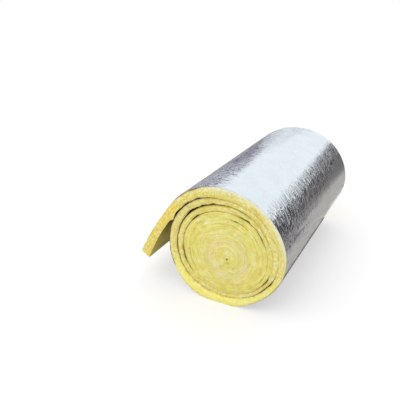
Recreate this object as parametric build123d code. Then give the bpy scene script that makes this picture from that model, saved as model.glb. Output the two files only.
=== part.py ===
from build123d import *
from math import atan2, degrees, floor
import os

# Roll of faced glass wool blanket, lying on its side with its outer end loose.
# Lengths in millimetres, angles in degrees. The roll's axis lies along Y.
# X is to the right and Z is up, as seen from the front end at the low Y.
# The origin is on the floor, in the middle of the patch that the roll rests on.

# The blanket
BLANKET_WIDTH = 1200.0
FACING_THICKNESS = 0.5
LOOSE_TIP_THICKNESS = 60.0

# The winding
ROLL_RADIUS = 342.0
CORE_PITCH = 23.0
OUTER_PITCH = 49.0
PITCH_POWER = 5
EYE_RADIUS = 7.0
ARCS_PER_TURN = 12

# The seam between one turn and the next shows on both ends as a groove
SEAM_WIDTH = 2.0
SEAM_DEPTH = 15.0

# Where the loose end leaves the roll, how far it stands out, and how far its two sides bow outwards
LEAVING_ANGLE = 143.0
LOOSE_LENGTH = 424.0
LOOSE_ANGLE = 238.0
OUTER_BOW = 12.0
INNER_BOW = 10.0

# Where the wool of the loose end lifts off the roll: a blunt end to the wedge between them
WEDGE_ROOT_ANGLE = 162.0
WEDGE_ROOT_WIDTH = 19.0
WEDGE_ROOT_SLOPE = 196.0

# How far back from there, in turns, the outer turn stays clear of the one below, from end to end
SLIT_TURNS = 0.04

# The core sits low and to the right in the roll, because the wool sags
CORE_SHIFT_X = 38.0
CORE_SHIFT_Z = -38.0
SHIFT_POWER = 2

# Outline of the sagged roll: radius against a plain spiral, every 45 degrees from +X
SAG = (1.04, 1.005, 0.97, 0.985, 1.045, 1.12, 1.075, 1.015)
SAG_POWER = 2

# Flat where the wool is pressed on the floor, to the left and right of the roll's axis,
# and the share of a turn over which it lifts off on both sides
FLOOR_DROP = 325.0
CONTACT_LEFT = -66.0
CONTACT_RIGHT = 34.0
CONTACT_BLEND = 0.055

# Where a seam is wider: start and end in turns back from the loose end, and the added width
LAP_OPENING = 9.0
TURN_OPENING = 5.5
OPEN_STRETCHES = (
    (-0.12, 0.16, LAP_OPENING),
    (0.41, 0.57, TURN_OPENING),
    (0.80, 1.21, TURN_OPENING),
    (1.78, 1.92, TURN_OPENING),
    (2.15, 2.34, TURN_OPENING),
)

MEAN_PITCH = CORE_PITCH + (OUTER_PITCH - CORE_PITCH) / (PITCH_POWER + 1)
TURNS = (ROLL_RADIUS - EYE_RADIUS) / MEAN_PITCH
LAST_UNDER = TURNS + (WEDGE_ROOT_ANGLE - LEAVING_ANGLE) / 360
SLIT_END = TURNS - SLIT_TURNS
EYE_OVERRUN = -0.05
AXIS_X = -(CONTACT_LEFT + CONTACT_RIGHT) / 2
FRONT_Y = -BLANKET_WIDTH / 2


def along(angle):
    """Unit vector at an angle in the section, from +X towards +Z."""
    return Vector(1, 0, 0).rotate(Axis.Y, -angle)


def angle_at(turn):
    """Angle that the blanket has reached after so many turns from the eye."""
    return LEAVING_ANGLE + 360 * (turn - TURNS)


def sag(angle):
    """Outline factor at an angle, as a smooth closed curve through the SAG values."""
    step = 360 / len(SAG)
    place = angle / step
    index = floor(place)
    t = place - index
    a, b, c, d = (SAG[(index + k) % len(SAG)] for k in (-1, 0, 1, 2))
    return b + t * (c - a + t * (2 * a - 5 * b + 4 * c - d + t * (3 * (b - c) + d - a))) / 2


def centre_of(share):
    """Centre of a turn whose radius is this share of the roll's."""
    return Vector(CORE_SHIFT_X, 0, CORE_SHIFT_Z) * (1 - share**SHIFT_POWER)


def spiral(turn, inset=0.0):
    """Point on the blanket's outer face, or a small distance inside it."""
    growth = (OUTER_PITCH - CORE_PITCH) / (PITCH_POWER + 1)
    radius = EYE_RADIUS + CORE_PITCH * turn + growth * turn * (turn / TURNS) ** PITCH_POWER
    share = radius / ROLL_RADIUS
    reach = radius * (1 + share**SAG_POWER * (sag(angle_at(turn)) - 1))
    return centre_of(share) + along(angle_at(turn)) * (reach - inset)


def seam(turn):
    """Width of the seam under the blanket at a turn."""
    back = TURNS - turn
    for start, end, width in OPEN_STRETCHES:
        if start < back < end:
            middle = (start + end) / 2
            off = (back - middle) / (end - start) * 2
            return SEAM_WIDTH + width * (1 - off**2) ** 2
    return SEAM_WIDTH


def under(turn):
    """Point on the blanket's inner face, across the seam from the turn below it."""
    return spiral(turn - 1, -seam(turn))


def wound(curve, first, last):
    """Arcs along a curve of turns, from one turn to another."""
    count = max(1, round((last - first) * ARCS_PER_TURN))
    turns = [first + (last - first) * k / count for k in range(count + 1)]
    edges = []
    for low, high in zip(turns, turns[1:]):
        edges.append(ThreePointArc(curve(low), curve((low + high) / 2), curve(high)))
    return edges


def last_turn_at(x):
    """Turn at which the outermost turn stands over a place along the floor."""
    angle = degrees(atan2(-FLOOR_DROP, x))
    return TURNS - 1 + (angle - LEAVING_ANGLE) % 360 / 360


def tip(inset):
    """Corner of the loose end's tip, some depth in from the outer face."""
    outer = spiral(TURNS) + along(LOOSE_ANGLE) * LOOSE_LENGTH
    return outer + along(LOOSE_ANGLE + 90) * inset


def bowed(start, end, bow):
    """A shallow arc between two places, bowed to the loose end's outer side."""
    return ThreePointArc(start, (start + end) / 2 + along(LOOSE_ANGLE - 90) * bow, end)


def outer_face(inset):
    """Edges of the outermost turn's outer side, or of one inside it, from the slit to the tip."""

    def curve(turn):
        return spiral(turn, inset)

    level = inset - FLOOR_DROP
    left = Vector(CONTACT_LEFT, 0, level)
    right = Vector(CONTACT_RIGHT, 0, level)
    down = last_turn_at(CONTACT_LEFT) - CONTACT_BLEND
    up = last_turn_at(CONTACT_RIGHT) + CONTACT_BLEND
    edges = wound(curve, SLIT_END - 1, down)
    edges.append(TangentArc(left, curve(down), tangent=(-1, 0, 0)))
    edges.append(Line(left, right))
    edges.append(TangentArc(right, curve(up), tangent=(1, 0, 0)))
    edges += wound(curve, up, TURNS)
    edges.append(bowed(curve(TURNS), tip(inset), OUTER_BOW))
    return edges


def run_along(edges, start, length):
    """A closed section, run along the roll from a place on its axis."""
    section = Pos(AXIS_X, start, FLOOR_DROP) * Face(Wire(edges))
    return extrude(section, amount=length, dir=(0, 1, 0))


def roll_body():
    """The wound turns and the loose end, with the open slit where the outer turn comes away."""
    slit_floor = spiral(SLIT_END - 1, FACING_THICKNESS)
    root = under(LAST_UNDER) + along(WEDGE_ROOT_SLOPE) * WEDGE_ROOT_WIDTH
    end = tip(LOOSE_TIP_THICKNESS)
    edges = outer_face(FACING_THICKNESS)
    edges.append(Line(tip(FACING_THICKNESS), end))
    edges.append(bowed(end, root, INNER_BOW))
    edges.append(Line(root, under(LAST_UNDER)))
    edges += wound(under, SLIT_END, LAST_UNDER)
    edges.append(Line(under(SLIT_END), slit_floor))
    return run_along(edges, FRONT_Y, BLANKET_WIDTH)


def eye():
    """The small bore that is left in the middle of the core."""
    centre = centre_of(EYE_RADIUS / ROLL_RADIUS)
    place = Pos(AXIS_X + centre.X, 0, FLOOR_DROP + centre.Z) * Rot(90, 0, 0)
    return place * Cylinder(EYE_RADIUS, BLANKET_WIDTH)


def seam_groove(start):
    """The seam of all the turns below the slit, cut into one end of the roll."""
    inner = wound(spiral, EYE_OVERRUN, SLIT_END - 1)
    outer = wound(under, EYE_OVERRUN + 1, SLIT_END)
    first = Line(spiral(EYE_OVERRUN), under(EYE_OVERRUN + 1))
    last = Line(spiral(SLIT_END - 1), under(SLIT_END))
    return run_along([first, last] + inner + outer, start, SEAM_DEPTH)


def glass_wool_blanket():
    """The wound wool: one solid, with its eye, and with its turns on both ends."""
    back = FRONT_Y + BLANKET_WIDTH - SEAM_DEPTH
    return roll_body() - eye() - seam_groove(FRONT_Y) - seam_groove(back)


def foil_facing():
    """The thin skin on the outer side of the outermost turn and of the loose end."""
    start = Line(spiral(SLIT_END - 1), spiral(SLIT_END - 1, FACING_THICKNESS))
    end = Line(tip(0), tip(FACING_THICKNESS))
    return run_along(outer_face(0) + outer_face(FACING_THICKNESS) + [start, end], FRONT_Y, BLANKET_WIDTH)


os.makedirs("parts", exist_ok=True)
for make in (glass_wool_blanket, foil_facing):
    piece = make()
    print(make.__name__, round(TURNS, 2), "turns", round(piece.volume / 1e9, 4), "m3", piece.is_valid)
    export_step(piece, f"parts/{make.__name__}.step")
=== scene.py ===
"""A roll of faced glass wool blanket, lying on its side with its outer end loose.

The wool is one long blanket, wound from the eye outwards, and the facing is a thin crinkled foil bonded to
its outer side. Lengths are in metres, in the row's frame: the roll's axis lies along Y and the end that the
camera sees is at the low Y.
"""

import logging
import math
from dataclasses import dataclass
from enum import Enum

import bpy
import numpy as np
from bpy.types import Material, Node, NodeSocket, NodeTree, Object
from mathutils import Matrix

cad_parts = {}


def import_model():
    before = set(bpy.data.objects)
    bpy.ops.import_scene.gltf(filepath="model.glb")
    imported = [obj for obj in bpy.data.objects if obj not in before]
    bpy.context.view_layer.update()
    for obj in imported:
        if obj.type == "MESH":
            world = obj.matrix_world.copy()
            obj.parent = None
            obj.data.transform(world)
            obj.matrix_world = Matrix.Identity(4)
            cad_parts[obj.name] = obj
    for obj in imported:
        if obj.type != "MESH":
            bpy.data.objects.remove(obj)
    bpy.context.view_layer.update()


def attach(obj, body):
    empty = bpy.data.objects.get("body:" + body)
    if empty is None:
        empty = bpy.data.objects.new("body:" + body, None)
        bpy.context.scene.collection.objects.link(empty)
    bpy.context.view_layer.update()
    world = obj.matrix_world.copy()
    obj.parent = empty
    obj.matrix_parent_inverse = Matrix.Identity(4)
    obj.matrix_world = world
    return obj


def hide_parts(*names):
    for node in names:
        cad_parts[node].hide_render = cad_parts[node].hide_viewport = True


LOG = logging.getLogger("insulation_roll")
ROOT = "root"
WOOL_NODE = "glass_wool_blanket"
FOIL_NODE = "foil_facing"
WOOL_SMOOTH = 50.0
FOIL_SMOOTH = 60.0
LUMP_SHIFT = (17.0, 31.0)
LUMP_SUM = 1.4
DENSE_PLACES = 60001
LIFT_PLACES = 9
BOW_PLACES = 24
MOTTLE_FINER = 4.3
MOTTLE_SHARES = (0.6, 0.4)
MOTTLE_BAND = (0.38, 0.62)
WHITE = (1.0, 1.0, 1.0)

Array = np.ndarray
Colour = tuple[float, float, float]
Band = tuple[float, float]
Hump = tuple[float, float, float]
Sweep = tuple[float, ...]


class End(Enum):
    """The two ends of the roll, as the sign of Y."""

    FRONT = -1
    BACK = 1


def ease(value: Array, low: float, high: float) -> Array:
    """Rise smoothly from 0 at low to 1 at high, or fall if low is the greater."""
    share = np.clip((value - low) / (high - low), 0.0, 1.0)
    return share * share * (3.0 - 2.0 * share)


def run_lengths(points: Array) -> Array:
    """Distance that is covered at each of a line of points, from the first one."""
    return np.concatenate([[0.0], np.cumsum(np.linalg.norm(np.diff(points, axis=0), axis=1))])


def plateau(value: Array, ends: Sweep) -> Array:
    """Rise from 0 to 1 between the first two of four numbers, and fall back between the last and the third."""
    return ease(value, *ends[:2]) * ease(value, *ends[2:])


def fade(value: Array, reach: float, power: int = 2) -> Array:
    """1 where a value is 0, fading away from there over a reach."""
    return np.exp(-((value / reach) ** power))


@dataclass(frozen=True)
class Relief:
    """One kind of relief: its height, its lumps to a unit both ways, and its layers of noise."""

    height: float
    along: float
    across: float
    layers: int = 2


@dataclass(frozen=True)
class Patches:
    """One kind of soft patches: how many to a metre and to a turn, their layer of noise, and its band."""

    metre: float
    turn: float
    layer: int
    band: Band


@dataclass(frozen=True)
class Lumps:
    """Smooth seeded noise over a flat strip, from -1 to 1."""

    seed: int
    size: int = 256

    def layer(self, u: Array, v: Array, shift: int) -> Array:
        """One layer of lumps.

        Args:
            u: First coordinate, a lump to each unit.
            v: Second coordinate, likewise.
            shift: Which of the layers this is.

        Returns:
            Noise from -1 to 1.
        """
        table = np.random.default_rng(self.seed + shift).uniform(-1.0, 1.0, (self.size, self.size))
        low_u, low_v = np.floor(u).astype(int), np.floor(v).astype(int)
        part_u, part_v = ease(u - low_u, 0.0, 1.0), ease(v - low_v, 0.0, 1.0)
        a, b, c, d = (table[(low_u + i) % self.size, (low_v + j) % self.size] for j in (0, 1) for i in (0, 1))
        return (a * (1 - part_u) + b * part_u) * (1 - part_v) + (c * (1 - part_u) + d * part_u) * part_v

    def fine(self, u: Array, v: Array, layers: int) -> Array:
        """Several layers of lumps, each half the size and half the height of the last.

        Args:
            u: First coordinate.
            v: Second coordinate.
            layers: How many layers are added up.

        Returns:
            Noise of about -1 to 1.
        """
        total = np.zeros(np.broadcast(u, v).shape)
        for k in range(layers):
            total = total + self.layer(u * 2**k + LUMP_SHIFT[0] * k, v * 2**k + LUMP_SHIFT[1] * k, k) / 2**k
        return total / LUMP_SUM

    def relief(self, kind: Relief, u: Array, v: Array, shift: float = 0.0) -> Array:
        """Heights of one kind of relief."""
        return kind.height * self.fine(u * kind.along + shift, v * kind.across, kind.layers)

    def patches(self, kind: Patches, length: Array, place: Array) -> Array:
        """Shares from 0 to 1 of one kind of patches."""
        return ease(self.layer(length * kind.metre, place * kind.turn, kind.layer), *kind.band)


@dataclass(frozen=True)
class Winding:
    """The roll's section: how the blanket winds from the eye, sags on the floor and comes loose.

    A place along the blanket is its turns from the eye, and past the last turn the share of the loose end. Gaps
    and dents are counted in turns back from where the loose end leaves: each gap from one place to another, with
    the width that it adds, and each dent with its middle, its reach and its height.
    """

    width: float = 1.2
    tip_thickness: float = 0.060
    roll_radius: float = 0.342
    core_pitch: float = 0.023
    outer_pitch: float = 0.049
    pitch_power: int = 5
    eye_radius: float = 0.007
    leaving_angle: float = 143.0
    loose_length: float = 0.424
    loose_angle: float = 238.0
    outer_bow: float = 0.012
    inner_bow: float = 0.010
    root_angle: float = 162.0
    root_width: float = 0.019
    root_slope: float = 196.0
    core_shift: tuple[float, float] = (0.038, -0.038)
    shift_power: int = 2
    eye_shift: tuple[float, float] = (-0.006, -0.020)
    sink_power: int = 4
    least_share: float = 0.8
    sag: tuple[float, ...] = (1.04, 1.005, 0.97, 0.985, 1.045, 1.12, 1.075, 1.015)
    sag_power: int = 2
    floor_drop: float = 0.325
    axis_x: float = 0.016
    press_softness: float = 0.004
    press_reach: float = 0.05
    lift_gap: float = 0.002
    core_pace: float = 0.14
    gaps: tuple[Hump, ...] = (
        (-0.09, 0.095, 0.0024), (-0.050, -0.002, 0.0045), (0.006, 0.042, 0.0045), (0.048, 0.084, 0.0062),
        (0.425, 0.60, 0.0020), (0.43, 0.52, 0.0030), (0.80, 1.25, 0.0056), (1.43, 1.50, 0.0030),
        (1.76, 1.92, 0.0045), (1.98, 2.07, 0.0034), (2.17, 2.26, 0.0048), (2.245, 2.345, 0.0042),
        (3.15, 3.22, 0.0032),
    )
    dents: tuple[Hump, ...] = (
        (1.16, 0.07, -0.009), (1.50, 0.05, -0.009), (1.60, 0.06, -0.014), (1.70, 0.06, -0.016),
        (2.22, 0.06, 0.005), (2.66, 0.12, -0.010), (3.24, 0.07, 0.007), (3.86, 0.10, -0.004),
    )
    stray_height: float = 0.0018
    stray_scale: Band = (7.0, 0.7)
    stray_back: Band = (1.0, 1.1)
    stray_core: Band = (0.5, 3.0)
    wander: Lumps = Lumps(5)

    @property
    def turns(self) -> float:
        """How many turns the blanket makes from the eye to where it leaves the roll."""
        mean = self.core_pitch + (self.outer_pitch - self.core_pitch) / (self.pitch_power + 1)
        return (self.roll_radius - self.eye_radius) / mean

    @property
    def axis(self) -> Array:
        """Where the roll's own axis crosses the section."""
        return np.array([self.axis_x, self.floor_drop])

    @property
    def root_turn(self) -> float:
        """The turn at which the loose end's wool lifts off the roll."""
        return self.turns + (self.root_angle - self.leaving_angle) / 360.0

    def angle(self, turn: Array) -> Array:
        """Angle in the section, in degrees from +X towards +Z, that is reached at a turn."""
        return self.leaving_angle + 360.0 * (turn - self.turns)

    @staticmethod
    def along(angle: Array) -> Array:
        """Unit vectors in the section at angles in degrees."""
        turned = np.radians(angle)
        return np.stack([np.cos(turned), np.sin(turned)], axis=-1)

    def sag_at(self, angle: Array) -> Array:
        """Outline factor at an angle, as a smooth closed curve through the sag values.

        Args:
            angle: Angles in degrees.

        Returns:
            The share of the plain radius that the sagged outline has there.
        """
        values = np.array(self.sag)
        place = angle / (360.0 / len(values))
        index = np.floor(place).astype(int)
        t = place - index
        a, b, c, d = (values[(index + k) % len(values)] for k in (-1, 0, 1, 2))
        return b + t * (c - a + t * (2 * a - 5 * b + 4 * c - d + t * (3 * (b - c) + d - a))) / 2

    def spiral(self, turn: Array, inset: Array | float = 0.0) -> Array:
        """Points on the wound blanket's outer side, or some depth inside it.

        Args:
            turn: Turns from the eye.
            inset: Depth under the outer side.

        Returns:
            Points in the section, X and Z in the row's frame.
        """
        growth = (self.outer_pitch - self.core_pitch) / (self.pitch_power + 1)
        radius = self.eye_radius + self.core_pitch * turn
        radius = radius + growth * turn * np.clip(turn / self.turns, 0.0, None) ** self.pitch_power
        radius = np.maximum(radius, self.least_share * self.eye_radius)
        share = radius / self.roll_radius
        reach = radius * (1 + share**self.sag_power * (self.sag_at(self.angle(turn)) - 1))
        reach = reach + self.strayed(turn)
        shift = np.array(self.core_shift) * (1 - share[..., None] ** self.shift_power)
        sunk = np.array(self.eye_shift) * np.clip(1 - share[..., None], 0.0, 1.0) ** self.sink_power
        centre = shift + sunk + self.axis
        return centre + self.along(self.angle(turn)) * (reach - inset)[..., None]

    def heart(self) -> Array:
        """Centre of the eye in the section."""
        return np.array(self.core_shift) + np.array(self.eye_shift) + self.axis

    def strayed(self, turn: Array) -> Array:
        """How far a turn under the outermost one strays, where it was pulled or dented."""
        back = self.turns - turn
        stray = self.stray_height * self.wander.fine(turn * self.stray_scale[0], turn * self.stray_scale[1], 2)
        for middle, reach, depth in self.dents:
            stray = stray + depth * fade(back - middle, reach)
        return stray * ease(back, *self.stray_back) * ease(turn, *self.stray_core)

    def seam(self, turn: Array) -> Array:
        """How much wider than touching the seam under the blanket is at a turn."""
        back = self.turns - turn
        opening = np.zeros(np.shape(turn))
        for start, end, wide in self.gaps:
            off = (back - (start + end) / 2) / (end - start) * 2
            opening = opening + np.where(np.abs(off) < 1, wide * (1 - off**2) ** 2, 0.0)
        return opening

    def outer(self, place: Array, inset: Array | float = 0.0) -> Array:
        """Points on the outer side of the whole blanket, its loose end included.

        Args:
            place: Places along the blanket.
            inset: Depth under the outer side.

        Returns:
            Points in the section.
        """
        wound = self.spiral(np.minimum(place, self.turns), inset)
        loose = np.clip(place - self.turns, 0.0, 1.0)[..., None]
        bow = 4.0 * loose * (1.0 - loose) * self.outer_bow * self.along(np.array(self.loose_angle - 90.0))
        return wound + loose * self.loose_length * self.along(np.array(self.loose_angle)) + bow

    def inner(self, place: Array, seam: Array) -> Array:
        """Points on the inner side of the whole blanket, its loose end included.

        Args:
            place: Places along the blanket.
            seam: Width of the seam under it.

        Returns:
            Points in the section.
        """
        tip = self.outer(np.array(self.turns + 1.0))
        tip = tip + self.along(np.array(self.loose_angle + 90.0)) * self.tip_thickness
        lift = np.linspace(self.turns, self.root_turn, LIFT_PLACES)
        lifted = self.spiral(lift - 1, -(self.seam(lift) + self.lift_gap))
        root = lifted[-1] + self.root_width * self.along(np.array(self.root_slope))
        share = np.linspace(0.0, 1.0, BOW_PLACES)[:, None]
        bow = 4.0 * share * (1.0 - share) * self.inner_bow * self.along(np.array(self.loose_angle - 90.0))
        path = np.vstack([lifted, root + (tip - root) * share + bow])
        covered = run_lengths(path)
        reach = np.clip(place - self.turns, 0.0, 1.0) * covered[-1]
        loose = np.stack([np.interp(reach, covered, path[:, k]) for k in (0, 1)], axis=-1)
        wound = self.spiral(place - 1, -seam)
        return np.where((place > self.turns)[..., None], loose, wound)

    def pressed(self, points: Array) -> Array:
        """Points of the section, with what would be under the floor pressed flat on it."""
        height = points[..., 1]
        flat = (height + np.sqrt(height**2 + self.press_softness**2)) / 2
        return np.stack([points[..., 0], np.where(height < self.press_reach, flat, height)], axis=-1)

    def places(self, first: float, last: float, spacing: float, finest: float) -> Array:
        """Stations along the blanket, closer together where it curves tightly.

        Args:
            first: Place of the first station.
            last: Place of the last station.
            spacing: Distance between stations on the outer turns.
            finest: Least distance between stations, at the core.

        Returns:
            Places of the stations.
        """
        dense = np.linspace(first, last, DENSE_PLACES)
        points = self.outer(dense)
        radius = np.linalg.norm(points - self.heart(), axis=1)
        pace = np.clip(self.core_pace * radius, finest, spacing)
        steps = np.linalg.norm(np.diff(points, axis=0), axis=1) / ((pace[1:] + pace[:-1]) / 2)
        counted = np.concatenate([[0.0], np.cumsum(steps)])
        count = int(round(counted[-1]))
        return np.interp(np.linspace(0.0, counted[-1], count + 1), counted, dense)


@dataclass(frozen=True)
class Grain:
    """One noise pattern: how many lumps to a unit, along X, Y and Z or the same all ways, and its character."""

    scale: float | tuple[float, float, float] | NodeSocket
    detail: float = 3.0
    rough: float = 0.55
    twist: float = 0.0
    turn: float = 0.0


@dataclass
class Graph:
    """A node tree, with short ways to add nodes to it."""

    tree: NodeTree

    def node(self, kind: str, **settings: object) -> Node:
        """Add a node.

        Args:
            kind: The node's type name, without the ShaderNode in front.
            settings: Properties to set on it.

        Returns:
            The node.
        """
        made = self.tree.nodes.new(kind if kind.startswith("Node") else "ShaderNode" + kind)
        for name, value in settings.items():
            setattr(made, name, value)
        return made

    def feed(self, node: Node, **sources: object) -> Node:
        """Set or link a node's inputs, named with underscores for spaces or numbered after an i.

        Args:
            node: The node.
            sources: An output socket to link, or a value to set, for each input.

        Returns:
            The same node.
        """
        for name, source in sources.items():
            key = int(name[1:]) if name[0] == "i" and name[1:].isdigit() else name.replace("_", " ")
            if isinstance(source, NodeSocket):
                self.tree.links.new(source, node.inputs[key])
            else:
                node.inputs[key].default_value = source
        return node

    def maths(self, operation: str, *values: object) -> NodeSocket:
        """Output of a Math node on one or two values."""
        made = self.node("Math", operation=operation)
        return self.feed(made, **{f"i{index}": value for index, value in enumerate(values)}).outputs[0]

    def times(self, first: object, *others: object) -> NodeSocket:
        """Product of some values."""
        for other in others:
            first = self.maths("MULTIPLY", first, other)
        return first

    def plus(self, first: object, second: object) -> NodeSocket:
        """Sum of two values."""
        return self.maths("ADD", first, second)

    def away(self, value: object, middle: float) -> NodeSocket:
        """How far a value is from a number, on either side."""
        return self.maths("ABSOLUTE", self.maths("SUBTRACT", value, middle))

    def blend(self, share: object, first: object, second: object) -> NodeSocket:
        """Output of a colour Mix node."""
        made = self.node("Mix", data_type="RGBA")
        first, second = ((*end, 1.0) if isinstance(end, tuple) else end for end in (first, second))
        return self.feed(made, i0=share, i6=first, i7=second).outputs[2]

    def range(
        self, value: object, low: float, high: float, start: float = 0.0, end: float = 1.0
    ) -> NodeSocket:
        """Output of a clamped Map Range node."""
        made = self.node("MapRange", interpolation_type="SMOOTHSTEP")
        return self.feed(made, Value=value, From_Min=low, From_Max=high, To_Min=start, To_Max=end).outputs[0]

    def grain(self, vector: object, grain: Grain) -> NodeSocket:
        """Value output of a Noise Texture node, on a vector that is turned about Z and stretched if need be."""
        scale = grain.scale
        if isinstance(scale, tuple):
            made = self.node("Mapping", vector_type="TEXTURE")
            shrink = tuple(1.0 / part for part in scale)
            self.feed(made, Vector=vector, Scale=shrink, Rotation=(0.0, 0.0, math.radians(grain.turn)))
            vector, scale = made.outputs[0], 1.0
        made = self.node("TexNoise", noise_dimensions="3D")
        self.feed(made, Vector=vector, Scale=scale, Detail=grain.detail, Roughness=grain.rough)
        return self.feed(made, Distortion=grain.twist).outputs[0]

    def attribute(self, name: str, output: str = "Fac") -> NodeSocket:
        """Output of an Attribute node that reads a named attribute of the mesh."""
        return self.node("Attribute", attribute_name=name).outputs[output]

    def object_place(self) -> NodeSocket:
        """The place on the object, in its own coordinates."""
        return self.node("TexCoord").outputs["Object"]

    def mottle(self, vector: object, scale: float) -> NodeSocket:
        """Mask of the shared mottle group."""
        return self.feed(self.node("Group", node_tree=mottle_group()), Vector=vector, Scale=scale).outputs[0]

    def bump(self, height: object, strength: float, distance: float) -> NodeSocket:
        """Normal output of a Bump node."""
        return self.feed(self.node("Bump"), Height=height, Strength=strength, Distance=distance).outputs[0]


def new_material(name: str) -> tuple[Material, Graph, Node]:
    """Make a material, and give it, its graph and its Principled BSDF node."""
    material = bpy.data.materials.new(name)
    material.use_nodes = True
    return material, Graph(material.node_tree), material.node_tree.nodes["Principled BSDF"]


def mottle_group() -> NodeTree:
    """The shared mottle effect, built once: broad and fine blotches in one mask.

    Returns:
        The node group.
    """
    found = bpy.data.node_groups.get("mottle")
    if found:
        return found
    tree = bpy.data.node_groups.new("mottle", "ShaderNodeTree")
    tree.interface.new_socket("Vector", in_out="INPUT", socket_type="NodeSocketVector")
    tree.interface.new_socket("Scale", in_out="INPUT", socket_type="NodeSocketFloat")
    tree.interface.new_socket("Mask", in_out="OUTPUT", socket_type="NodeSocketFloat")
    graph = Graph(tree)
    given = graph.node("NodeGroupInput").outputs
    broad = graph.grain(given["Vector"], Grain(given["Scale"], 2.0, 0.5))
    finer = graph.grain(given["Vector"], Grain(graph.times(given["Scale"], MOTTLE_FINER), 4.0, 0.6))
    both = graph.plus(graph.times(broad, MOTTLE_SHARES[0]), graph.times(finer, MOTTLE_SHARES[1]))
    graph.feed(graph.node("NodeGroupOutput"), Mask=graph.range(both, *MOTTLE_BAND))
    return tree


@dataclass(frozen=True)
class WoolFinish:
    """Glass wool: pale lemon fibres in thin layers, matted and frayed where they are cut.

    A sweep says over which band of a pattern a tint comes in, and with what share at either end of it.
    """

    pale: Colour = (0.765, 0.72, 0.245)
    deep: Colour = (0.60, 0.505, 0.07)
    cream: Colour = (0.77, 0.77, 0.61)
    ochre: Colour = (0.60, 0.41, 0.07)
    seam_and_gap_shade: Colour = (0.16, 0.095, 0.02)
    lemon: Colour = (0.92, 0.85, 0.20)
    honey: Colour = (0.73, 0.50, 0.025)
    pink: Colour = (0.72, 0.61, 0.36)
    painted_shade: Colour = (0.085, 0.058, 0.005)
    fluff: Colour = (0.80, 0.62, 0.18)
    roughness: float = 0.95
    gloss: float = 0.04
    sheen: float = 0.20
    sheen_roughness: float = 0.6
    layers: Grain = Grain((9.0, 9.0, 260.0), 4.0, 0.6, 0.6)
    layer_sweep: Sweep = (0.36, 0.66)
    mottle_scale: float = 22.0
    mottle_share: float = 0.5
    fibres: Grain = Grain((60.0, 60.0, 700.0), 3.0, 0.6, 1.2)
    fibre_sweep: Sweep = (0.52, 0.72, 0.0, 0.35)
    swirls: Grain = Grain((14.0, 14.0, 120.0), 3.0, 0.55, 0.9)
    swirl_sweep: Sweep = (0.55, 0.72, 0.0, 0.6)
    patches: Grain = Grain(34.0, 3.0, 0.6, 0.8)
    ochre_sweep: Sweep = (0.54, 0.72, 0.0, 0.40)
    cream_sweep: Sweep = (0.48, 0.30, 0.0, 0.40)
    torn_sweep: Sweep = (0.30, 0.52, 0.35, 1.0)
    clean_sweep: Sweep = (0.0, 0.85, 1.0, 0.3)
    blotches: Grain = Grain(85.0, 2.0, 0.55, 0.6)
    brown_sweep: Sweep = (0.53, 0.66, 0.0, 0.50)
    bleach_sweep: Sweep = (0.47, 0.34, 0.0, 0.55)
    breaks: Grain = Grain(55.0)
    break_sweep: Sweep = (0.40, 0.60)
    layer_height: float = 0.8
    fibre_height: float = 0.5
    grit: tuple[Grain, float] = (Grain(420.0, 4.0, 0.7), 0.3)
    clumps: tuple[Grain, float] = (Grain(95.0, 3.0, 0.6, 0.5), 1.3)
    bump: float = 0.8
    bump_distance: float = 0.004

    def material(self) -> Material:
        """Build the wool material, which reads the mesh's strip and tint attributes.

        Returns:
            The material.
        """
        material, graph, shader = new_material("glass_wool")
        strip, place = graph.attribute("strip", "Vector"), graph.object_place()
        layers, fibres = graph.grain(strip, self.layers), graph.grain(strip, self.fibres)
        swirls, patches = graph.grain(strip, self.swirls), graph.grain(place, self.patches)
        blotches, breaks = graph.grain(place, self.blotches), graph.grain(place, self.breaks)
        frayed, lemon = graph.attribute("frayed"), graph.attribute("lemon")
        cleaner = graph.range(lemon, *self.clean_sweep)
        colour = graph.blend(graph.range(layers, *self.layer_sweep), self.deep, self.pale)
        for share, tint in (
            (graph.times(graph.mottle(place, self.mottle_scale), self.mottle_share), self.pale),
            (graph.range(fibres, *self.fibre_sweep), self.cream),
            (graph.range(swirls, *self.swirl_sweep), self.deep),
            # Lemon yellow: the wool's own tone, and on the low side of the roll partly painted light that lifts
            # the shade near the floor.
            (lemon, self.lemon),
            (graph.attribute("honey"), self.honey),
            (graph.times(graph.range(patches, *self.ochre_sweep), cleaner), self.ochre),
            (graph.range(patches, *self.cream_sweep), self.cream),
            (graph.times(graph.range(blotches, *self.brown_sweep), frayed, cleaner), self.ochre),
            (graph.times(graph.range(blotches, *self.bleach_sweep), frayed), self.cream),
            (graph.attribute("core"), self.pink),
            (graph.times(graph.attribute("scorch"), graph.range(breaks, *self.break_sweep)), self.ochre),
            # Painted highlight on the outer turn's rim, strongest on the side towards the light, over a faint
            # pale edge all round.
            (graph.times(graph.attribute("rim"), graph.range(patches, *self.torn_sweep)), self.cream),
            # Painted shade on the loose end's underside.
            (graph.attribute("shade"), self.painted_shade),
            # Painted shade in the open gaps between turns, with a faint dark line at closed seams.
            (graph.attribute("seam"), self.seam_and_gap_shade),
        ):
            colour = graph.blend(share, colour, tint)
        graph.feed(shader, Base_Color=colour, Roughness=self.roughness, Specular_IOR_Level=self.gloss)
        graph.feed(shader, Sheen_Weight=self.sheen, Sheen_Roughness=self.sheen_roughness)
        graph.feed(shader, Sheen_Tint=(*self.fluff, 1.0))
        height = graph.plus(graph.times(layers, self.layer_height), graph.times(fibres, self.fibre_height))
        for grain, share in (self.grit, self.clumps):
            height = graph.plus(height, graph.times(graph.grain(place, grain), share))
        graph.feed(shader, Normal=graph.bump(height, self.bump, self.bump_distance))
        return material


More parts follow.
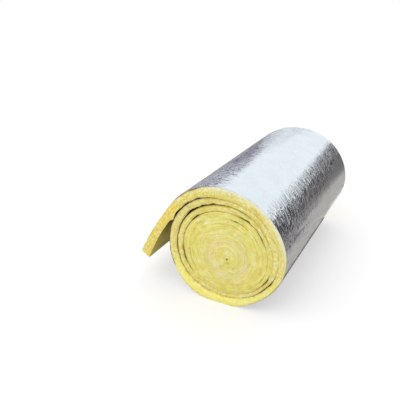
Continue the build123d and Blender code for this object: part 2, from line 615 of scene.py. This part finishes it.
@dataclass(frozen=True)
class FoilFinish:
    """Aluminium foil facing: bright, drawn into fine creases that run round the roll."""

    bright: Colour = (0.785, 0.87, 0.93)
    dull: Colour = (0.69, 0.735, 0.79)
    mottle_scale: float = 9.0
    dulled: float = 0.35
    roughness: float = 0.045
    roughened: float = 0.03
    creases: tuple[Grain, ...] = (
        Grain((9.0, 60.0, 1.0), 1.0, 0.5, 0.6),
        Grain((12.0, 52.0, 1.0), 1.0, 0.5, 0.6, 24.0),
        Grain((12.0, 46.0, 1.0), 1.0, 0.5, 0.6, -30.0),
    )
    round_height: float = 0.5
    ridge: float = 0.07
    bump: float = 0.6
    bump_distance: float = 0.001

    def material(self) -> Material:
        """Build the foil material, which reads the mesh's strip and creased attributes.

        A crease is a thin ridge wherever its noise passes through the middle of its range.
        """
        material, graph, shader = new_material("foil")
        strip = graph.attribute("strip", "Vector")
        away = (graph.away(graph.grain(strip, grain), 0.5) for grain in self.creases)
        round_it, rising, falling = (graph.range(far, 0.0, self.ridge, 1.0, 0.0) for far in away)
        mottle = graph.mottle(strip, self.mottle_scale)
        colour = graph.blend(graph.times(mottle, self.dulled), self.bright, self.dull)
        rough = graph.plus(graph.times(mottle, self.roughened), self.roughness)
        graph.feed(shader, Base_Color=colour, Metallic=1.0, Roughness=rough)
        height = graph.plus(graph.times(round_it, self.round_height), graph.plus(rising, falling))
        height = graph.times(height, graph.attribute("creased"))
        graph.feed(shader, Normal=graph.bump(height, self.bump, self.bump_distance))
        return material


def deselect_all() -> None:
    """Deselect every object, in object mode."""
    bpy.ops.object.select_all(action="DESELECT")


def flat_grid(name: str, along: int, across: int) -> Object:
    """Add a flat grid primitive with so many faces along X and across Y, from -1 to 1 both ways.

    Args:
        name: Name of the new object.
        along: Faces along X.
        across: Faces across Y.

    Returns:
        The grid object, active and the only one selected.
    """
    deselect_all()
    bpy.ops.mesh.primitive_grid_add(x_subdivisions=along, y_subdivisions=across, size=2.0)
    grid = bpy.context.object
    grid.name = grid.data.name = name
    return grid


def grid_steps(flat: Array, along: int, across: int) -> tuple[Array, Array]:
    """Which step along X and which one across Y each vertex of a flat grid is at."""
    station, row = (np.rint((flat[:, k] + 1.0) / 2.0 * (along, across)[k]).astype(int) for k in (0, 1))
    return station, row


def coordinates(piece: Object) -> Array:
    """All vertex coordinates of a piece's mesh, one row each."""
    flat = np.empty(len(piece.data.vertices) * 3)
    piece.data.vertices.foreach_get("co", flat)
    return flat.reshape(-1, 3)


def place_vertices(piece: Object, points: Array) -> None:
    """Move all vertices of a piece's mesh to the given points."""
    piece.data.vertices.foreach_set("co", points.astype(np.float32).ravel())
    piece.data.update()


def write_attribute(piece: Object, name: str, values: Array) -> None:
    """Store a number or a vector for each vertex of a piece under a name."""
    kind, key = ("FLOAT", "value") if values.ndim == 1 else ("FLOAT_VECTOR", "vector")
    made = piece.data.attributes.new(name, kind, "POINT")
    made.data.foreach_set(key, values.astype(np.float32).ravel())


def face_outwards(piece: Object, smooth_angle: float) -> None:
    """Recalculate a piece's normals outwards and shade it smooth up to an angle in degrees."""
    deselect_all()
    bpy.context.view_layer.objects.active = piece
    piece.select_set(True)
    bpy.ops.object.mode_set(mode="EDIT")
    bpy.ops.mesh.select_all(action="SELECT")
    bpy.ops.mesh.normals_make_consistent(inside=False)
    bpy.ops.object.mode_set(mode="OBJECT")
    bpy.ops.object.shade_smooth_by_angle(angle=math.radians(smooth_angle))
    deselect_all()


@dataclass(frozen=True)
class Strip:
    """Where vertices lie on the flat blanket.

    Each has its place in turns from the eye and in turns back from where the loose end leaves, its length from
    the eye in metres, its layer as a share of the thickness from the outer side, and its depth from the nearer
    cut end.
    """

    place: Array
    back: Array
    length: Array
    layer: Array
    depth: Array

    def only(self, which: Array) -> "Strip":
        """The vertices that a mask picks."""
        return Strip(*(values[which] for values in vars(self).values()))


@dataclass
class Blanket:
    """The wool: a flat blanket, thickened in layers, wound on the section and frayed at its cut ends.

    Bands of turns are counted back from where the loose end leaves the roll.
    """

    winding: Winding
    finish: WoolFinish
    first_place: float = 0.12
    spacing: float = 0.0082
    finest: float = 0.0026
    depths: tuple[float, ...] = (0.0, 0.0015, 0.004, 0.009, 0.02, 0.045, 0.15)
    layers: tuple[float, ...] = (0.0, 0.03, 0.09, 0.19, 0.3, 0.41, 0.52, 0.63, 0.74, 0.85, 0.93, 0.97, 1.0)
    lumps: Lumps = Lumps(11)
    rings: Lumps = Lumps(23, 32)
    jags: Relief = Relief(1.0, 42.0, 30.0, 3)
    dashes: Patches = Patches(15.0, 3.0, 5, (-0.6, 0.2))
    parting: float = 0.0006
    pinch: float = 0.0013
    pinch_depth: float = 0.005
    skin_inset: float = 0.0012
    skin_band: Band = (1.2, 1.05)
    apart_band: Band = (3.0, 1.9)
    apart: Patches = Patches(5.0, 0.7, 7, (-0.1, 0.9))
    closed: tuple[Sweep, ...] = ((0.09, 0.13, 0.46, 0.38), (1.24, 1.30, 1.66, 1.56))
    sway: Relief = Relief(0.0024, 3.1, 0.9)
    crown: float = 0.0038
    strands: Relief = Relief(0.0012, 24.0, 7.6)
    strand_lean: float = 3.0 / 7.6
    ringed: Relief = Relief(0.0022, 32.0, 210.0)
    matted: Relief = Relief(0.0030, 34.0, 34.0, 3)
    tufts: Relief = Relief(0.0018, 120.0, 120.0)
    far_shift: float = 80.0
    fray_depth: float = 0.012
    slip: Hump = (0.695, 0.105, 0.0125)
    outer_band: Band = (1.1, 0.9)
    loose_band: Band = (0.02, -0.06)
    lap_band: Band = (0.17, 0.05)
    tip_band: Band = (-0.15, -0.90)
    frayed_band: Band = (2.8, 1.4)
    scorch_band: Band = (3.4, 1.9)
    joined: Sweep = (0.20, 0.24, 0.46, 0.40)
    heated: Patches = Patches(8.0, 1.3, 9, (-0.4, 0.5))
    scorch_reach: float = 0.0065
    line_reach: float = 0.003
    skin_reach: float = 0.017
    wide_gap: float = 0.005
    highlight_angle: float = 57.0
    core_ring: Hump = (0.098, 0.03, 0.40)

    def rows(self) -> Array:
        """Rows across the blanket's width, close together at both cut ends."""
        front = [depth - self.winding.width / 2 for depth in self.depths]
        return np.array(front + [0.0] + [-y for y in reversed(front)])

    def flat(self, stations: int) -> Object:
        """Model the flat blanket: a grid, extruded once for each layer of its thickness.

        Args:
            stations: How many faces it has along its length.

        Returns:
            The flat blanket, from -1 to 1 both ways, with its layers a unit apart.
        """
        blanket = flat_grid("glass_wool", stations, len(self.depths) * 2)
        bpy.ops.object.mode_set(mode="EDIT")
        for _ in range(len(self.layers) - 1):
            bpy.ops.mesh.extrude_region_move(TRANSFORM_OT_translate={"value": (0.0, 0.0, -1.0)})
        bpy.ops.object.mode_set(mode="OBJECT")
        return blanket

    def section(self, strip: Strip) -> Array:
        """Where the wool lies in the section, with ragged gaps between its turns.

        Args:
            strip: The vertices.

        Returns:
            Points in the section, pressed on the floor.
        """
        wind, place = self.winding, strip.place
        jagged = self.lumps.relief(self.jags, strip.length, strip.depth)
        distinct = self.distinct(strip)
        wide = wind.seam(place) * (0.3 + 0.8 * self.lumps.patches(self.dashes, strip.length, place))
        wide = wide * np.clip(1.0 + 0.7 * jagged, 0.05, 2.0) + self.parting * distinct
        pinch = self.pinch * distinct * (1.0 + 0.6 * jagged) * fade(strip.depth, self.pinch_depth, 1)
        inset = self.skin_inset * ease(strip.back, *self.skin_band)
        outer = wind.outer(place, inset + pinch)
        points = outer + (wind.inner(place, wide + pinch) - outer) * strip.layer[..., None]
        return np.where((strip.back < 1.0)[..., None], wind.pressed(points), points)

    def distinct(self, strip: Strip) -> Array:
        """How clearly each turn stands apart from the next one: well outside, barely in the matted core.

        Args:
            strip: The vertices.

        Returns:
            Shares from 0 to 1.
        """
        patchy = self.lumps.patches(self.apart, strip.length, strip.place)
        closed = sum(plateau(strip.back, stretch) for stretch in self.closed)
        outside = ease(strip.back, *self.apart_band) * (0.5 + 0.5 * patchy) * (1.0 - 0.8 * closed)
        return np.clip(outside + 0.10 * patchy, 0.0, 1.0)

    def proud(self, strip: Strip, section: Array, end: End) -> Array:
        """How far the cut wool stands out past the plain end.

        Args:
            strip: The vertices of one half of the blanket.
            section: Their points in the section.
            end: The end that is nearer to them.

        Returns:
            Heights over the plain end.
        """
        shift = self.far_shift if end is End.BACK else 0.0
        lumps, across, up = self.lumps, section[:, 0] + shift, section[:, 1]
        crown = self.crown * ((1.0 - np.abs(2.0 * strip.layer - 1.0) ** 3.0) - 0.7)
        sway = lumps.relief(self.sway, strip.length, strip.place, shift)
        strands = lumps.relief(self.strands, strip.length, strip.layer + strip.place * self.strand_lean, shift)
        from_eye = section - self.winding.heart()
        turned = np.arctan2(from_eye[:, 1], from_eye[:, 0]) / (2.0 * np.pi)
        rings = self.rings.relief(self.ringed, turned, np.linalg.norm(from_eye, axis=1), shift)
        matted = lumps.relief(self.matted, across, up) + lumps.relief(self.tufts, across, up)
        proud = self.distinct(strip) * (sway + crown + strands) + rings + matted
        return proud + (self.slipped(strip) if end is End.FRONT else 0.0)

    def slipped(self, strip: Strip) -> Array:
        """How far the outermost turn has slipped out of the near end, low on the left."""
        middle, reach, height = self.slip
        return height * ease(strip.layer, 1.0, 0.75) * fade(strip.back - middle, reach, 4)

    def tints(self, strip: Strip, section: Array, thickness: Array) -> dict[str, Array]:
        """How strongly each tint shows, painted shade and a painted highlight among them.

        Args:
            strip: The vertices.
            section: Their points in the section.
            thickness: How thick the blanket is there.

        Returns:
            The tints' shares, from 0 to 1, by the names of their attributes.
        """
        wind, layer, back = self.winding, strip.layer, strip.back
        angle = np.radians(wind.angle(np.minimum(strip.place, wind.turns)) % 360.0)
        outer, loose = ease(back, *self.outer_band), ease(back, *self.loose_band)
        wound = 1.0 - loose
        # Side of the roll that faces the light, where the rim's painted highlight is strongest.
        bright = ease(np.cos(angle - np.radians(self.highlight_angle)), 0.45, 0.9)
        # Low side of the roll, where the lemon tint is partly painted light lifting the shade near the floor.
        low = ease(-np.sin(angle), 0.1, 0.8)
        edge, distinct = np.minimum(layer, 1.0 - layer) * thickness, self.distinct(strip)
        # Painted shade on the walls of the open gaps between turns, with a faint dark line at closed seams.
        gap = np.maximum(wind.seam(strip.place), wind.seam(strip.place + 1.0))
        opened = np.clip(gap / self.wide_gap, 0.0, 1.0)
        seam = (0.08 * distinct + 0.85 * opened) * np.exp(-edge / (0.002 + 0.001 * opened))
        heat = 0.25 + 0.6 * self.lumps.patches(self.heated, strip.length, strip.place)
        heat = heat * ease(back, *self.scorch_band) * (1.0 - 0.75 * plateau(back, self.joined))
        scorch = heat * fade(edge, self.scorch_reach) + 0.5 * distinct * fade(edge, self.line_reach)
        # Painted shade on the loose end's underside: darkest at its root, lighter towards its tip except deep
        # between the cut ends.
        to_tip = ease(back, *self.tip_band) * (1.0 - 0.75 * ease(strip.depth, 0.02, 0.35))
        shade = ease(layer, 0.96, 1.0) * ease(strip.depth, 0.001, 0.004)
        middle, reach, share = self.core_ring
        ring = fade(np.linalg.norm(section - wind.heart(), axis=1) - middle, reach)
        return {
            "rim": outer * fade(layer * thickness, self.skin_reach) * (0.95 * bright + 0.10) * wound,
            "honey": 0.27 * ease(back, *self.lap_band) + 0.19 * loose,
            "lemon": outer * (0.7 * low * wound + 0.15 * loose),
            "frayed": ease(back, *self.frayed_band),
            "seam": np.clip(seam, 0.0, 1.0) * wound,
            "scorch": np.clip(scorch, 0.0, 0.9) * wound,
            "shade": loose * shade * (1.0 - 0.6 * to_tip),
            "core": share * ring * fade(strip.depth, 0.05, 1),
        }

    def build(self) -> Object:
        """Model, wind and dress the wool.

        Returns:
            The finished piece.
        """
        wind, rows = self.winding, self.rows()
        places = wind.places(self.first_place, wind.turns + 1.0, self.spacing, self.finest)
        stations = len(places) - 1
        piece = self.flat(stations)
        flat = coordinates(piece)
        station, row = grid_steps(flat, stations, len(rows) - 1)
        layer, across = np.array(self.layers)[np.rint(-flat[:, 2]).astype(int)], rows[row]
        length = run_lengths(wind.outer(places))[station]
        place, depth = places[station], wind.width / 2 - np.abs(across)
        strip = Strip(place, wind.turns - place, length, layer, depth)
        section = self.section(strip)
        shift = np.zeros(len(flat))
        for end in End:
            here = np.sign(across) == end.value
            shift[here] = end.value * self.proud(strip.only(here), section[here], end)
        shift = shift * fade(depth, self.fray_depth, 1)
        place_vertices(piece, np.stack([section[:, 0], across + shift, section[:, 1]], axis=-1))
        thickness = np.linalg.norm(wind.outer(places) - wind.inner(places, wind.seam(places)), axis=1)[station]
        write_attribute(piece, "strip", np.stack([length, across, layer * thickness], axis=-1))
        for name, shares in self.tints(strip, section, thickness).items():
            write_attribute(piece, name, shares)
        face_outwards(piece, WOOL_SMOOTH)
        piece.data.materials.append(self.finish.material())
        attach(piece, ROOT)
        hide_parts(WOOL_NODE)
        LOG.info("%s: %d stations, %d faces", piece.name, stations, len(piece.data.polygons))
        return piece


@dataclass
class Facing:
    """The foil skin on the outermost turn and the loose end, drawn into creases round the roll.

    Each set of creases has its share of the height, how many of them there are to a metre round and along the
    roll, its shift of the noise, its sway and its slant.
    """

    winding: Winding
    material: Material
    turns_covered: float = 1.09
    spacing: float = 0.0175
    rows: int = 300
    thickness: float = 0.0003
    crease: float = 0.0011
    creases: tuple[Sweep, ...] = (
        (0.45, 8.0, 46.0, 0.0, 0.0, 0.0),
        (0.40, 10.0, 36.0, 50.0, 0.08, 0.42),
        (0.30, 10.0, 36.0, 70.0, 0.08, -0.34),
    )
    sharpness: float = 2.4
    ripple: Relief = Relief(0.0007, 3.0, 9.0)
    ripple_shift: float = 90.0
    ragged: Relief = Relief(0.0011, 25.0, 9.0, 3)
    ragged_depth: float = 0.01
    lowest: float = -0.0007
    trim: float = -0.001
    tucked: float = 0.0065
    tuck_lap: Sweep = (78.0, 90.0, 180.0, 165.0)
    tuck_under: Sweep = (222.0, 236.0, 350.0, 335.0)
    tight_angle: float = 71.0
    tight_band: Band = (15.0, 27.0)
    lumps: Lumps = Lumps(29)

    def tuck(self, place: Array) -> Array:
        """How far the foil's cut edge is tucked back: on the lap, the loose end and the underside."""
        angle = self.winding.angle(place) % 360.0
        round_it = np.maximum(plateau(angle, self.tuck_lap), plateau(angle, self.tuck_under))
        return np.maximum(round_it, ease(self.winding.turns - place, 0.02, 0.0))

    def creased(self, place: Array, across: Array) -> Array:
        """How strongly the foil is creased: least where it is drawn tight over the top of the roll.

        Args:
            place: Place along the blanket.
            across: Distance from the middle of the roll's length.

        Returns:
            Shares of about 0 to 1.
        """
        angle = self.winding.angle(place) % 360.0
        tight = 1.0 - ease(np.abs(angle - self.tight_angle), *self.tight_band)
        tight = tight * (place > self.winding.turns - 0.9)
        calm = 1.0 - 0.45 * fade(self.winding.width / 2 + across, 0.05, 1)
        height = (angle + 180.0) % 360.0 - 180.0 + 14.0 * ease(-across, 0.40, 0.54)
        calm = calm * (0.30 + 0.70 * ease(np.abs(height), 18.0, 29.0))
        return (1.0 - 0.9 * tight) * (0.75 + 0.35 * ease(-across, 0.1, 0.50)) * calm

    def relief(self, length: Array, across: Array) -> tuple[Array, Array]:
        """Heights of the foil over its plain surface.

        Args:
            length: Distance round the roll.
            across: Distance from the middle of the roll's length.

        Returns:
            Heights of the creases, and of the broad ripples.
        """
        heights = 0.0
        for share, round_it, along, shift, sway, slant in self.creases:
            slanted = across + sway * np.sin(length * 2.1) + slant * length
            noise = self.lumps.fine(length * round_it + shift, slanted * along, 1)
            heights = heights + share * (1.0 - self.sharpness * np.abs(noise))
        return self.crease * heights, self.lumps.relief(self.ripple, length, across, self.ripple_shift)

    def build(self) -> Object:
        """Model, wind and dress the foil.

        Returns:
            The finished piece.
        """
        wind = self.winding
        first = wind.turns - self.turns_covered
        places = wind.places(first, wind.turns + 1.0, self.spacing, self.spacing)
        piece = flat_grid("foil_skin", len(places) - 1, self.rows)
        flat = coordinates(piece)
        station, row = grid_steps(flat, len(places) - 1, self.rows)
        place, length = places[station], run_lengths(wind.outer(places))[station]
        half = wind.width / 2 - self.trim - self.tucked * self.tuck(place)
        ragged = self.lumps.relief(self.ragged, length, np.sign(flat[:, 1]))
        across = (row / self.rows * 2.0 - 1.0) * half
        across = across + ragged * np.sign(across) * fade(half - np.abs(across), self.ragged_depth, 1)
        creases, ripples = self.relief(length, across)
        creased = self.creased(place, across)
        raised = np.maximum(creases * creased + ripples, self.lowest)
        section = wind.pressed(wind.outer(place, -raised))
        place_vertices(piece, np.stack([section[:, 0], across, section[:, 1]], axis=-1))
        write_attribute(piece, "strip", np.stack([length, across, np.zeros(len(flat))], axis=-1))
        write_attribute(piece, "creased", creased)
        deselect_all()
        bpy.context.view_layer.objects.active = piece
        piece.select_set(True)
        skin = piece.modifiers.new("skin", "SOLIDIFY")
        skin.thickness = self.thickness
        skin.offset = -1.0
        bpy.ops.object.modifier_apply(modifier="skin")
        face_outwards(piece, FOIL_SMOOTH)
        piece.data.materials.append(self.material)
        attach(piece, ROOT)
        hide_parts(FOIL_NODE)
        LOG.info("%s: %d faces", piece.name, len(piece.data.polygons))
        return piece


def seen_directly(graph: Graph) -> NodeSocket:
    """1 for what is seen by the camera, in a gloss or through glass, and 0 for what only lights the scene."""
    path = graph.node("LightPath").outputs
    seen = graph.maths("MAXIMUM", path["Is Camera Ray"], path["Is Glossy Ray"])
    return graph.maths("MAXIMUM", seen, path["Is Transmission Ray"])


def glowing(name: str) -> tuple[Material, Graph, Node]:
    """Make a material that only glows, and give it, its graph and its glowing shader."""
    material, graph, shader = new_material(name)
    graph.tree.nodes.remove(shader)
    glow = graph.feed(graph.node("Emission"), Strength=1.0)
    graph.feed(graph.tree.nodes["Material Output"], Surface=glow.outputs[0])
    return material, graph, glow


def hide_from_all_but_gloss(piece: Object) -> None:
    """Mark a piece as staging that only glossy rays see."""
    piece.visible_camera = piece.visible_diffuse = piece.visible_shadow = piece.visible_transmission = False


@dataclass
class Curtain:
    """A glowing pleated sheet stood in an arc round the roll, which only the foil's gloss sees: it paints dark
    reflections into the foil.

    Its ragged top droops at one end and dips at one place, where it may have a pale stripe too.
    """

    name: str
    dark: Colour
    pale: Colour
    hem: Colour
    first: float
    last: float
    radius: float
    high: float
    droop: float = 0.0
    ragged: float = 0.06
    pleat: float = 0.22
    dip: float = 0.0
    stripe: float = 0.0
    fold_band: Band = (0.42, 0.60)
    hem_height: float = 0.20
    droop_band: Band = (0.885, 0.95)
    dip_at: float = 0.835
    dip_reach: float = 0.045
    stripe_at: float = 0.205
    stripe_band: Band = (0.008, 0.020)
    stripe_reach: Band = (0.03, 0.06)
    step: float = 6.0

    def build(self) -> None:
        """Stand the curtain on the floor, in its arc."""
        curtain = flat_grid(self.name, int((self.last - self.first) / self.step), 1)
        flat = coordinates(curtain)
        turned = np.radians(self.first + (flat[:, 0] + 1.0) / 2.0 * (self.last - self.first))
        height = (flat[:, 1] + 1.0) / 2.0 * self.high
        across, along = self.radius * np.cos(turned), self.radius * np.sin(turned)
        place_vertices(curtain, np.stack([across, along, height], axis=-1))
        curtain.data.materials.append(self.material())
        hide_from_all_but_gloss(curtain)

    def material(self) -> Material:
        """Pleats from dark to pale, a hem near the floor, and white above the ragged top."""
        material, graph, glow = glowing(self.name)
        pleats = math.radians(self.last - self.first) * self.radius / self.pleat
        place = graph.node("TexCoord").outputs["UV"]
        folds = graph.grain(place, Grain((pleats, 2.2, 1.0), 3.0, 0.65, 0.6))
        slack = graph.grain(place, Grain((pleats * 0.4, 6.0, 1.0), 3.0, 0.6, 1.0))
        torn = graph.grain(place, Grain((pleats * 0.8, 1.0, 1.0), 3.0, 0.7))
        both = graph.plus(graph.times(folds, 0.6), graph.times(slack, 0.4))
        colour = graph.blend(graph.range(both, *self.fold_band), self.dark, self.pale)
        run, level = graph.feed(graph.node("SeparateXYZ"), i0=place).outputs[:2]
        colour = graph.blend(graph.range(level, 0.0, self.hem_height, 1.0, 0.0), colour, self.hem)
        brim = graph.plus(level, graph.times(graph.maths("SUBTRACT", torn, 0.5), self.ragged * 2.0))
        brim = graph.plus(brim, graph.range(run, *self.droop_band, 0.0, self.droop))
        off = graph.away(run, self.dip_at)
        brim = graph.plus(brim, graph.range(off, 0.0, self.dip_reach, self.dip, 0.0))
        striped = graph.range(graph.away(level, self.stripe_at), *self.stripe_band, self.stripe, 0.0)
        striped = graph.times(striped, graph.range(off, *self.stripe_reach, 1.0, 0.0))
        colour = graph.blend(striped, colour, self.hem)
        above = graph.range(brim, 0.97 - self.ragged, 1.0 - self.ragged)
        graph.feed(glow, Color=graph.blend(above, colour, WHITE))
        return material


@dataclass
class Mat:
    """A glowing flat sheet over the floor, from its low corner to its high one, which only the foil's gloss
    sees: it paints a darker floor into the foil's reflection.
    """

    name: str
    colour: Colour
    low: Band
    high: Band
    level: float = 0.002
    patches: Grain = Grain(9.0, 3.0, 0.6)
    patch_sweep: Sweep = (0.35, 0.65, 0.86, 1.14)

    def build(self) -> None:
        """Lay the mat."""
        mat = flat_grid(self.name, 1, 1)
        flat = coordinates(mat)
        share = (flat[:, :2] + 1.0) / 2.0
        spread = np.array(self.low) + share * (np.array(self.high) - np.array(self.low))
        place_vertices(mat, np.column_stack([spread, np.full(len(flat), self.level)]))
        material, graph, glow = glowing(self.name)
        strength = graph.range(graph.grain(graph.object_place(), self.patches), *self.patch_sweep)
        graph.feed(glow, Color=(*self.colour, 1.0), Strength=strength)
        mat.data.materials.append(material)
        hide_from_all_but_gloss(mat)


@dataclass(frozen=True)
class Softbox:
    """A square lamp that looks at the roll and isn't seen in its gloss."""

    name: str
    place: tuple[float, float, float]
    power: float
    side: float = 5.5
    aim: float = 0.3

    def build(self) -> None:
        """Hang the lamp."""
        light = bpy.data.lights.new(self.name, "AREA")
        light.shape = "SQUARE"
        light.size = self.side
        light.energy = self.power
        lamp = bpy.data.objects.new(self.name, light)
        bpy.context.scene.collection.objects.link(lamp)
        lamp.location = self.place
        lamp.visible_glossy = False
        direction = lamp.location * -1.0
        direction.z += self.aim
        lamp.rotation_euler = direction.to_track_quat("-Z", "Y").to_euler()


@dataclass
class Studio:
    """Pale floor, soft light, dark curtains and mats for the foil to reflect, and the camera."""

    floor_colour: Colour = (0.86, 0.86, 0.86)
    floor_roughness: float = 0.9
    floor_size: float = 40.0
    floor_fade: Band = (1.0, 2.2)
    floor_veil: float = 0.45
    world_strength: float = 0.78
    camera_place: tuple[float, float, float] = (0.862, -2.3574, 1.4859)
    camera_turn: tuple[float, float, float] = (65.296, 0.0, 28.828)
    lens: float = 40.66
    sensor: float = 36.0
    lamps: tuple[Softbox, ...] = (
        Softbox("key", (-1.6, -3.4, 4.2), 165.0),
        Softbox("top", (1.5, 1.0, 4.5), 60.0),
        Softbox("back", (-0.6, 4.4, 3.0), 75.0),
    )
    curtains: tuple[Curtain, ...] = (
        Curtain("curtain_right", (0.045, 0.032, 0.047), (0.25, 0.22, 0.205), (0.36, 0.33, 0.31),
                -120.0, 88.0, 2.4, 1.33, droop=0.15, dip=0.12, stripe=1.0),
        Curtain("curtain_near", (0.015, 0.010, 0.022), (0.12, 0.10, 0.11), (0.20, 0.17, 0.17),
                -30.0, 46.5, 2.3, 1.31, ragged=0.03),
        Curtain("curtain_back_left", (0.68, 0.68, 0.70), (0.92, 0.92, 0.94), (0.50, 0.50, 0.50),
                92.0, 115.0, 2.9, 1.6),
        Curtain("curtain_left", (0.09, 0.06, 0.12), (0.72, 0.72, 0.74), (0.50, 0.50, 0.52),
                115.0, 240.0, 2.9, 1.85, ragged=0.08, pleat=0.20),
    )
    mats: tuple[Mat, ...] = (
        Mat("mat_right", (0.49, 0.455, 0.415), (0.34, -1.6), (2.5, 2.6)),
        Mat("mat_far_right", (0.17, 0.14, 0.17), (1.2, 0.6), (2.6, 2.6), 0.004),
        Mat("mat_near_right", (0.13, 0.11, 0.13), (0.85, 0.1), (1.25, 0.85), 0.006),
        # Painted reflection of the shade under the roll's right side, for the foil's grazing edge.
        Mat("mat_under_right", (0.16, 0.14, 0.15), (0.05, -0.6), (0.36, 0.6), 0.004),
        Mat("mat_left", (0.40, 0.38, 0.38), (-3.0, -1.6), (-0.55, 3.0)),
    )

    def floor(self) -> None:
        """Lay the floor, which fades to white with its distance."""
        deselect_all()
        bpy.ops.mesh.primitive_plane_add(size=self.floor_size, location=(0.0, 0.0, 0.0))
        floor = bpy.context.object
        floor.name = "floor"
        material, graph, shader = new_material("pale_floor")
        graph.feed(shader, Base_Color=(*self.floor_colour, 1.0), Roughness=self.floor_roughness)
        graph.feed(shader, Specular_IOR_Level=0.0)
        distance = graph.node("VectorMath", operation="LENGTH")
        graph.feed(distance, i0=graph.object_place())
        faded = graph.range(distance.outputs["Value"], *self.floor_fade, self.floor_veil, 1.0)
        glow = graph.feed(graph.node("Emission"), Color=(*WHITE, 1.0), Strength=1.0)
        either = graph.feed(graph.node("MixShader"), i0=graph.times(faded, seen_directly(graph)))
        graph.feed(either, i1=shader.outputs[0], i2=glow.outputs[0])
        graph.feed(graph.tree.nodes["Material Output"], Surface=either.outputs[0])
        floor.data.materials.append(material)

    def world(self) -> None:
        """Light the scene evenly, with a white background."""
        world = bpy.data.worlds.new("studio")
        bpy.context.scene.world = world
        world.use_nodes = True
        graph = Graph(world.node_tree)
        strength = graph.node("MapRange")
        graph.feed(strength, Value=seen_directly(graph), To_Min=self.world_strength, To_Max=1.0)
        background = world.node_tree.nodes["Background"]
        graph.feed(background, Color=(*WHITE, 1.0), Strength=strength.outputs[0])

    def camera(self) -> None:
        """Set the camera at its place and angle."""
        data = bpy.data.cameras.new("camera")
        data.lens = self.lens
        data.sensor_width = self.sensor
        camera = bpy.data.objects.new("camera", data)
        bpy.context.scene.collection.objects.link(camera)
        camera.location = self.camera_place
        camera.rotation_euler = [math.radians(turn) for turn in self.camera_turn]
        bpy.context.scene.camera = camera

    def build(self) -> None:
        """Make the floor, the light, the curtains, the mats and the camera."""
        self.floor()
        self.world()
        for staging in (*self.lamps, *self.curtains, *self.mats):
            staging.build()
        self.camera()
        bpy.context.scene.view_settings.view_transform = "Standard"


def main() -> None:
    """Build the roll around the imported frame, in order, and report each piece."""
    logging.basicConfig(level=logging.INFO, format="%(name)s: %(message)s")
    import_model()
    winding = Winding()
    foil = FoilFinish().material()
    Blanket(winding, WoolFinish()).build()
    Facing(winding, foil).build()
    Studio().build()


if __name__ == "__main__":
    main()
